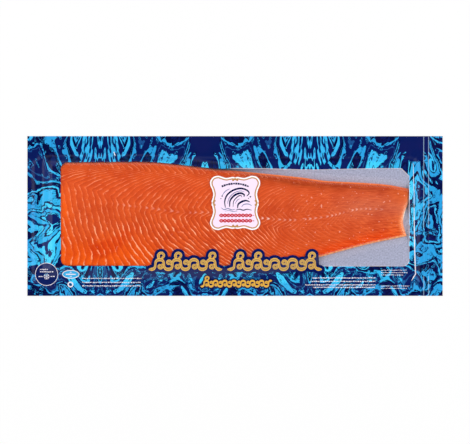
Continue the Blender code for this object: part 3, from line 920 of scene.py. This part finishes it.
def coatedPaper():
    # Coated label paper, die-cut: matt and bright white, printed a very pale pink inside the gold line. Its
    # tooth is drawn 0.8 mm coarse.
    material, tree = newTree("coatedLabelPaper")
    inset = add(tree, "Attribute", output="Fac", attribute_name="inset")
    inside = add(tree, "Math", (inset, label["lineInset"]), operation="GREATER_THAN")
    paper = add(tree, "Mix", {0: inside, 6: tone("#fdfbfd"), 7: tone("#f9e3fa")}, 2, data_type="RGBA")
    place = add(tree, "TexCoord", output="Object")
    tooth = add(tree, "TexNoise", {"Vector": place, "Scale": 1 / (0.8333 * mm), "Detail": 2.0})
    coat(tree, paper, {"Roughness": 0.5, "IOR": 1.45}, tooth, 0.1, 0.1)
    return material


def plainInk(name, code):
    # One solid printed ink with a faint 2.5 mm mottle, under the same gloss as the film.
    material, tree = newTree(name)
    place = add(tree, "TexCoord", output="Object")
    mottle = add(tree, "TexNoise", {"Vector": place, "Scale": 1 / (2.5 * mm), "Detail": 2.0})
    darker = (*(0.88 * channel for channel in tone(code)[:3]), 1.0)
    ink = add(tree, "Mix", {0: mottle, 6: tone(code), 7: darker}, 2, data_type="RGBA")
    coat(tree, ink, {"Roughness": 0.22, "IOR": 1.45, "Specular IOR Level": 0.3})
    return material


def makeLabel():
    # Loops of the outline scaled down towards its centre, as a sheet on the film.
    outline = labelOutline()
    share = np.concatenate([np.linspace(0.06, 0.86, 12), np.linspace(0.88, 1, 12)])[:, None, None]
    grid = outline[None] * share
    away = grid[:, :, None] - outline
    inset = np.hypot(away[..., 0], away[..., 1]).min(-1)
    x, y = grid[..., 0] + labelCentre[0], grid[..., 1] + labelCentre[1]
    shell = sheetShell(x, y, labelSurface(x, y), labelTop(x, y), loop=True, capped=True)
    pieceFrom("frontLabel", shell, coatedPaper(), "front_label", True, {"inset": np.tile(inset.ravel(), 2)})
    # Gold line with a small knot of three beads at the middle of each side.
    line = insetLoop(outline, label["lineInset"]) + labelCentre
    shells = [layerOn(labelTop, ribbon(line, label["lineWidth"], closed=True), 0.02, loop=True)]
    reach = np.array([label["quarter"][-1][0], label["quarter"][0][1]]) - label["lineInset"]
    for side in np.array([(1, 0), (-1, 0), (0, 1), (0, -1)]):
        for step in (-1, 0, 1):
            out = -0.8 if step else 0.9
            knot = labelCentre + side * (reach + out) + np.abs(side[::-1]) * step * label["knotStep"]
            shells.append(discOn(labelTop, knot, label["knotRadius"], label["knotRadius"], 0.075))
    pieceFrom("labelGoldLine", joinShells(shells), plainInk("goldInk", "#c48c4e"), "front_label")


labelArt = {
    "arcCentreY": 0.5,
    "arcRadius": 50,
    "arcDashes": 12,
    "arcStep": 4.2,  # degrees between dashes, then half a dash's length
    "arcHalf": 1.75,
    "strokes": [  # a breaking wave drawn with a broad pen: points, greatest width, dark or soft
        ([(-15, 13), (-16, 23), (-12, 33), (-3, 40), (8, 43), (18, 40.5), (22, 35.5), (18.5, 31)], 2.8,
         "dark"),
        ([(-20, 32), (-15, 38.5), (-8, 42.5)], 1.3, "soft"),
        ([(-12, 19), (-9, 28), (-2, 35.5), (8, 39), (15, 37.5)], 1.3, "soft"),
        ([(-8.5, 14), (-7.5, 24), (-1, 32), (8, 35.5), (14, 33.5), (14, 30)], 3.1, "dark"),
        ([(-3, 14), (-2, 23), (4, 30), (9, 32), (11, 29)], 1.5, "dark"),
        ([(0, 19), (4, 25), (8, 27)], 1.0, "soft"),
        ([(4, 12), (5, 18), (10, 22), (17, 24), (23, 22)], 2.9, "dark"),
        ([(10, 14), (14, 18), (21, 18.5), (26, 16)], 1.4, "soft"),
        ([(-22, 13), (-17, 10), (-11, 11.5), (-5, 9.5), (0, 10.5)], 1.5, "soft"),
        ([(1, 9), (7, 10.5), (13, 9), (19, 10.5), (26, 9)], 1.6, "dark"),
        ([(-16, 7.6), (-9, 8.3), (-3, 7), (4, 7.4)], 1.0, "soft"),
    ],
    "spray": [(24, 30, 1.2), (-20, 31, 1.1), (-22, 27, 0.8), (21, 27.5, 0.8)],
    "ropeRows": (0.9, -7.5),
    "ropeHeight": 5.6,
    "ropeStep": 5.6,
    "ropeHalf": 25.5,
    "ropeStrand": 1.75,
    "beadRadius": 0.75,
}


def penStroke(points, width, steps=40):
    # A curve through the points with a brush's width: full in the middle, fine at both ends, as a sine.
    path = curveThrough(points, np.linspace(0, len(points) - 1, steps))
    return ribbon(path, width * (0.22 + 0.78 * np.sin(np.pi * np.linspace(0.04, 0.96, steps)) ** 0.8))


def makeLabelArt():
    # Generic marks in place of lettering: an arc of dashes, a curling wave, and two rows of red rope.
    art = labelArt
    layers = {"dark": [], "soft": []}
    for k in range(art["arcDashes"]):
        middle = 90 + (k - (art["arcDashes"] - 1) / 2) * art["arcStep"]
        path = arcPath((labelCentre[0], art["arcCentreY"]), art["arcRadius"], middle - art["arcHalf"],
                       middle + art["arcHalf"], 5)
        layers["dark"].append(layerOn(labelTop, ribbon(path, 3.0 if k % 3 else 2.2), 0.02))
    for k, (points, width, ink) in enumerate(art["strokes"]):
        layers[ink].append(layerOn(labelTop, penStroke(points, width), 0.02 + 0.004 * k))
    for x, y, r in art["spray"]:
        layers["dark"].append(discOn(labelTop, (x, y), r, r, 0.02))
    for name, ink, inkName, code in (("labelWaveMark", "dark", "navyLabelInk", "#0e1747"),
                                     ("labelWaveShade", "soft", "paleNavyLabelInk", "#7d84ac")):
        pieceFrom(name, joinShells(layers[ink]), plainInk(inkName, code), "front_label")
    # Each rope row is two strands, cosines that cross, with a bead in every eye.
    red = []
    centre = labelCentre[0] + 1
    x = np.linspace(-art["ropeHalf"], art["ropeHalf"], 150)
    for base in art["ropeRows"]:
        for side in (-1, 1):
            swing = side * (art["ropeHeight"] - art["ropeStrand"]) / 2
            path = np.stack([x + centre, base + swing * np.cos(np.pi * x / art["ropeStep"])], -1)
            red.append(layerOn(labelTop, ribbon(path, art["ropeStrand"]), 0.05 + 0.03 * side, 0.04))
        for k in range(int(2 * art["ropeHalf"] / art["ropeStep"]) + 1):
            bead = (centre + (k - 4) * art["ropeStep"], base)
            red.append(discOn(labelTop, bead, art["beadRadius"], art["beadRadius"], 0.02, steps=12))
    pieceFrom("labelRedRope", joinShells(red), plainInk("redLabelInk", "#cb1526"), "front_label")


# Ornament in the place of the title: gold scrolling vines on a navy field that follows their outline.

title = {
    "base": -86.0,
    "height": 20.5,
    "wave": 27.0,
    "stroke": 5.2,
    "curlStroke": 3.8,
    "border": 4.5,
    "groups": [(-131, -24, (0, 1, 3)), (-8, 132, (0, 1, 4))],  # left, right, bays with a sprout on top
    "engraved": 0.42,  # share of a stroke's width
}
subtitle = {
    "base": -112,
    "height": 12.4,
    "wave": 14.6,
    "stroke": 3.5,
    "curlStroke": 2.5,
    "border": 2.1,
    "groups": [(-52, 56, (0, 12))],
}


def vinePaths(sizes, left, right, sprouts):
    # A stem that swings as a sine over the full height, with a spiral in each bay: (path, width) pairs.
    middle = sizes["base"] + sizes["height"] / 2
    swing = (sizes["height"] - sizes["stroke"]) / 2
    bays = int(round(2 * (right - left) / sizes["wave"]))
    bay = (right - left) / bays
    x = np.linspace(left, right, bays * 22)
    phase = np.pi * (x - left) / bay
    sway = bay * 0.14 * np.sin(2 * phase)  # leans the crests over
    paths = [(np.stack([x + sway, middle - swing * np.cos(phase)], -1),
              sizes["stroke"] * (0.8 + 0.2 * np.cos(2 * phase)))]
    curlWidth = sizes["curlStroke"]
    for k in range(bays + 1):
        up = 1 if k % 2 else -1  # odd crossings are crests: their curl hangs below them
        crossing = left + k * bay
        if 0 < k < bays:
            centre = (crossing + bay * 0.06, middle - up * swing * 0.38)
            curl = arcPath(centre, bay * 0.29, up * 60, up * (60 - 430), 46, 0.62)
            paths.append((curl, curlWidth * np.linspace(1, 0.7, 46)))
        if k in [2 * sprout + 1 for sprout in sprouts]:
            centre = (crossing + bay * 0.2, middle + swing + sizes["height"] * 0.3)
            paths.append((arcPath(centre, sizes["height"] * 0.24, 225, -90, 30, 0.3),
                          curlWidth * np.linspace(1.15, 0.8, 30)))
    # A pointed leaf at either end.
    for end, way in ((left, -1), (right, 1)):
        foot = middle - swing if way < 0 or bays % 2 == 0 else middle + swing
        leaf = np.linspace((end - way * bay * 0.1, foot), (end + way * bay * 0.28, foot), 8)
        paths.append((leaf, sizes["stroke"] * np.sqrt(np.linspace(1, 0.05, 8))))
    return paths


def fieldAround(paths, border):
    # The field's lower and upper edges are where a disc of stroke/2 + border rolls along every stroke.
    points = np.vstack([path for path, _ in paths])
    reach = np.concatenate([np.broadcast_to(width, len(path)) for path, width in paths]) / 2 + border
    x = np.arange((points[:, 0] - reach).min() + 0.05, (points[:, 0] + reach).max() - 0.05, border / 5)
    off = (x[:, None] - points[:, 0]) / reach
    arch = np.where(np.abs(off) < 1, np.sqrt(np.clip(1 - off**2, 0, 1)), np.nan) * reach
    low = np.nanmin(points[:, 1] - arch, axis=1)
    high = np.nanmax(points[:, 1] + arch, axis=1)
    share = np.linspace(0, 1, 24)[:, None]
    return np.broadcast_to(x, (24, len(x))), low + (high - low) * share


def makeVine(name, sizes, fieldCode, goldCode, coreCode=None):
    # Each group of a vine is a field under gold strokes, with a darker core in each stroke if it is engraved.
    field, gold, cores = [], [], []
    for left, right, sprouts in sizes["groups"]:
        paths = vinePaths(sizes, left, right, sprouts)
        field.append(layerOn(filmFace, fieldAround(paths, sizes["border"]), 0.05))
        for k, (path, width) in enumerate(paths):
            gold.append(layerOn(filmFace, ribbon(path, width, 5), 0.12 + 0.004 * k))
            if coreCode:
                core = np.broadcast_to(width, len(path))[1:-1] * sizes["engraved"]
                cores.append(layerOn(filmFace, ribbon(path[1:-1], core), 0.18 + 0.004 * k))
    pieceFrom(name + "Field", joinShells(field), plainInk("navyInkUnder" + name, fieldCode), "printed_film")
    pieceFrom(name + "Gold", joinShells(gold), plainInk("goldInkOf" + name, goldCode), "printed_film")
    if coreCode:
        pieceFrom(name + "Engraving", joinShells(cores), plainInk("tanInkOf" + name, coreCode),
                  "printed_film")


# Small marks: a storage roundel with a snowflake, an oval, a ring, and rows of dashes where small print was.

marks = {
    "roundel": (-294.8, -91.1, 18.0),
    "flakeDrop": 3.6,
    "oval": (-256.9, -91.2, 13.5, 6.7),
    "ring": (-257.5, -107.2, 4.5),
    # First and last x of some rows, their y, whether the right ends line up, and their share of dashHeight.
    "rows": [(-239, -137.5, (-97.7, -103.9, -109.4), False, 1),
             (106, 219, (-96.9, -102.3, -107.8, -111.7), True, 1),
             (228.8, 272.8, (-84.9, -88.6, -92.3, -109.5, -113.2), False, 0.6),
             (-305, -284, (-83.6, -87.4), False, 1)],
    "dashHeight": 1.6,
}


def whiteBar(start, end, width, steps=4):
    # A straight stroke on the film.
    return layerOn(filmFace, ribbon(np.linspace(start, end, steps), width), 0.11)


def whiteRing(centre, radiusX, radiusY, width, steps=72):
    # An elliptical stroke on the film.
    path = ringPath(centre, radiusX, radiusY, steps)
    return layerOn(filmFace, ribbon(path, width, closed=True), 0.11, loop=True)


def makeMarks():
    # The roundel: a disc, its rim, a flake of six arms with two twigs each, and a short and a long bar
    # beside it.
    x, y, radius = marks["roundel"]
    disc = discOn(filmFace, (x, y), radius - 0.4, radius - 0.4, 0.03, 9, 72)
    pieceFrom("roundelField", disc, plainInk("navyRoundelInk", "#0d1f5c"), "printed_film")
    white = [whiteRing((x, y), radius - 0.4, radius - 0.4, 0.75)]
    flake = np.array([x, y - marks["flakeDrop"]])
    for angle in np.radians(60 * np.arange(6) + 30):
        out = np.array([np.cos(angle), np.sin(angle)])
        white.append(whiteBar(flake + out * 0.6, flake + out * 4.6, 0.7, 6))
        for side in (-1, 1):
            turn = angle + side * np.radians(50)
            branch = np.array([np.cos(turn), np.sin(turn)])
            root = flake + out * 2.6 + branch * 0.5
            white.append(whiteBar(root, root + branch * 1.9, 0.55))
    for side in (-1, 1):
        for near, far in ((6.4, 8.4), (9.4, 12.6)):
            white.append(whiteBar(flake + [side * near, 0], flake + [side * far, 0], 1.3))
    # The oval with three bars, and the plain ring.
    ovalX, ovalY, ovalW, ovalH = marks["oval"]
    white.append(whiteRing((ovalX, ovalY), ovalW - 0.5, ovalH - 0.5, 1.1))
    white.append(discOn(filmFace, (ovalX, ovalY), 8, 0.9, 0.11, 3, 24, power=4))
    for dy in (-3.2, 3.2):
        white.append(discOn(filmFace, (ovalX, ovalY + dy), 1.8, 0.5, 0.11, 3, 20))
    ringX, ringY, ringR = marks["ring"]
    white.append(whiteRing((ringX, ringY), ringR - 0.9, ringR - 0.9, 1.9, 40))
    oval = discOn(filmFace, (ovalX, ovalY), ovalW - 0.3, ovalH - 0.3, 0.03, 6, 64)
    pieceFrom("ovalField", oval, plainInk("cyanOvalInk", "#35b6f0"), "printed_film")
    # Dashes of random length and height, a random gap apart.
    draws = np.random.default_rng(21)
    for start, end, rows, rightAligned, share in marks["rows"]:
        for row in rows:
            at, stop = start, end - draws.uniform(0, 12)
            if rightAligned:
                at, stop = start + draws.uniform(0, 18), end
            while at < stop:
                length = min(draws.uniform(0.7, 2.6), stop - at + 0.6)
                level = row + draws.uniform(-0.3, 0.3)
                height = marks["dashHeight"] * draws.uniform(0.75, 1.1) * share
                path = np.linspace((at, level), (at + length, level), 4)
                white.append(layerOn(filmFace, ribbon(path, height, 2), 0.09, 0.04))
                at += length + draws.uniform(0.5, 1.3)
    pieceFrom("whitePrint", joinShells(white), plainInk("whitePrintInk", "#f6f0fa"), "printed_film")


# Raised lines in the film: the crease along the board's tail edge and the two heat-seal ribs.

ribs = {
    "crease": [(-90.5, 282.6), (-60, 281.3), (-8, 280.4), (40, 279.9), (83, 278.8)],  # (y, x)
    "creaseFoot": (276.2, -101.5),
    "sealX": (295.4, 303.0),
    "sealWidth": 1.2,
    "sealHeight": 0.3,
    # The ribs carry a painted highlight, set by the two places below.
    "sealHighlightEnds": (-18, -94),  # the ribs are palest above the first place and below the second
    "pinch": [(-189.6, 100.5), (-188.6, 97.5), (-187.4, 94.2)],  # a small fold caught in the film
}


def ridge(path, width, height):
    # A rounded ridge along a path: height falls as a cosine to both sides, over a sunk underside.
    x, y = ribbon(path, width, 9)
    across = np.linspace(-1, 1, 9)[:, None]
    low = filmFace(x, y) - 0.05
    return sheetShell(x, y, low, low + 0.06 + height * (0.5 + 0.5 * np.cos(np.pi * across)))


def glintWhiteFilm():
    # The crease and the small fold are painted near white: a painted highlight along each fold, a little
    # uneven in tone.
    material, tree = newTree("paintedGlintFilm")
    place = add(tree, "TexCoord", output="Object")
    glintTone = add(tree, "TexNoise", {"Vector": place, "Scale": 1 / (11.11 * mm), "Detail": 2.0})
    tint = add(tree, "Mix", {0: glintTone, 6: tone("#ffffff"), 7: tone("#e8dcec")}, 2, data_type="RGBA")
    coat(tree, tint, {"Roughness": 0.25, "IOR": 1.5})
    return material


def sealedFilm():
    # Two film layers melted together: the print goes on over the rib, with a painted pale highlight on its
    # upper and lower stretches.
    material, tree, ink, (_, y, _, _) = printTree("heatSealedFilm")
    above = add(tree, "Math", (y, ribs["sealHighlightEnds"][0] * mm), operation="GREATER_THAN")
    below = add(tree, "Math", (y, ribs["sealHighlightEnds"][1] * mm), operation="LESS_THAN")
    ribHighlight = add(tree, "Math", (above, below), operation="MAXIMUM")
    # Painted highlight: a pale blue-white mixed into the print on the rib.
    ribHighlight = add(tree, "Math", (ribHighlight, 0.42), operation="MULTIPLY")
    ink = add(tree, "Mix", {0: ribHighlight, 6: ink, 7: tone("#b4d6f0")}, 2, data_type="RGBA")
    finishFilm(tree, ink)
    return material


def makeRibs():
    # The crease runs down the board's edge and turns in at its foot, fading out at both ends.
    y = np.linspace(ribs["crease"][-1][0], ribs["crease"][0][0], 150)
    x = through(ribs["crease"], y)
    foot = np.linspace((x[-1], y[-1]), ribs["creaseFoot"], 14)[1:]
    path = np.vstack([np.stack([x, y], -1), foot])
    run = np.linspace(0, 1, len(path))
    taper = ease(0, 0.14, run) * (1 - ease(0.95, 1, run))
    lower = ease(20, -30, path[:, 1])
    crease = ridge(path, 0.45 + (0.5 + 0.6 * lower) * taper, 0.5 + 0.4 * taper[None, :])
    # The small fold, like the crease, carries the painted white highlight.
    pinch = ridge(ribs["pinch"], 1.3, 0.5)
    pieceFrom("boardCrease", joinShells([crease, pinch]), glintWhiteFilm(), "printed_film")
    y = np.linspace(packLow[1] + 0.5, packHigh[1] - 0.5, 220)
    seals = [ridge(np.stack([x + 0 * y, y], -1), ribs["sealWidth"], ribs["sealHeight"])
             for x in ribs["sealX"]]
    pieceFrom("sealRibs", joinShells(seals), sealedFilm(), "printed_film")


# Studio: white floor, an even soft tent of light with a dark opening overhead for the camera, and two lamps.

studio = {
    "imageWidth": 734.4,  # width of the view at the height of the film
    "viewY": -9.4,
    "cameraHeight": 6000,
    "filmHeight": 12,
    "floorSize": 6.0,
    "tentStrength": 0.96,
    "openingStrength": 0.015,
    "openingEdge": (0.80, 0.90),  # sines of elevation between which the tent turns dark
    "sideEnergy": 20.6,
    "sideSize": 2.2,
    "sidePlaces": [(-1.7, 0.25, 1.25), (1.7, 0.25, 1.25)],
}


def aimDown(place):
    # Turns a lamp so that it looks at the middle of the pack.
    return (-Vector(place)).to_track_quat("-Z", "Y").to_euler()


def makeStudio():
    bpy.ops.mesh.primitive_plane_add(size=studio["floorSize"], location=(0, 0, -0.0002))
    floor = bpy.context.object
    floor.name = "studioFloor"
    material, tree = newTree("whiteSweep")
    ray = add(tree, "LightPath").node.outputs
    seen = add(tree, "Math", (ray["Is Camera Ray"], ray["Is Glossy Ray"]), operation="MAXIMUM")
    seen = add(tree, "Math", (seen, ray["Is Transmission Ray"]), operation="MAXIMUM")
    seen = add(tree, "Math", (seen, 0.86), operation="MULTIPLY")
    matt = add(tree, "BsdfDiffuse", {"Color": (0.9, 0.9, 0.9, 1)})
    white = add(tree, "Emission", {"Color": (1, 1, 1, 1), "Strength": 1.0})
    both = add(tree, "MixShader", (seen, matt, white))
    add(tree, "OutputMaterial", (both,))
    floor.data.materials.append(material)

    world = bpy.data.worlds.new("studioTent")
    world.use_nodes = True
    world.node_tree.nodes.clear()
    tree = world.node_tree
    towards = add(tree, "TexCoord", output="Generated")
    height = add(tree, "SeparateXYZ", (towards,), 2)
    strength = add(tree, "MapRange", {"Value": height, "From Min": studio["openingEdge"][0],
                                      "From Max": studio["openingEdge"][1], "To Min": studio["tentStrength"],
                                      "To Max": studio["openingStrength"]}, interpolation_type="SMOOTHSTEP")
    tent = add(tree, "Background", {"Color": (1, 1, 1, 1), "Strength": strength})
    add(tree, "OutputWorld", (tent,))
    bpy.context.scene.world = world

    for name, place in zip(("sideLampLeft", "sideLampRight"), studio["sidePlaces"]):
        light = bpy.data.lights.new(name, "AREA")
        light.shape = "SQUARE"
        light.size = studio["sideSize"]
        light.energy = studio["sideEnergy"]
        lamp = bpy.data.objects.new(name, light)
        lamp.location = place
        lamp.rotation_euler = aimDown(place)
        bpy.context.scene.collection.objects.link(lamp)

    camera = bpy.data.cameras.new("overheadCamera")
    distance = (studio["cameraHeight"] - studio["filmHeight"]) * mm
    camera.lens = camera.sensor_width * distance / (studio["imageWidth"] * mm)
    camera.clip_end = 50
    seat = bpy.data.objects.new("overheadCamera", camera)
    seat.location = (0, studio["viewY"] * mm, studio["cameraHeight"] * mm)
    bpy.context.scene.collection.objects.link(seat)
    bpy.context.scene.camera = seat
    bpy.context.scene.view_settings.view_transform = "Standard"
    print("studio set up")


makeBacking()
makeSalmon()
makePrintedFront()
makeWindow()
makeRibs()
makeLabel()
makeLabelArt()
makeVine("titleVine", title, "#08195a", "#efba55", "#b8965c")
makeVine("subtitleVine", subtitle, "#0a1648", "#eab34a")
makeMarks()
makeStudio()
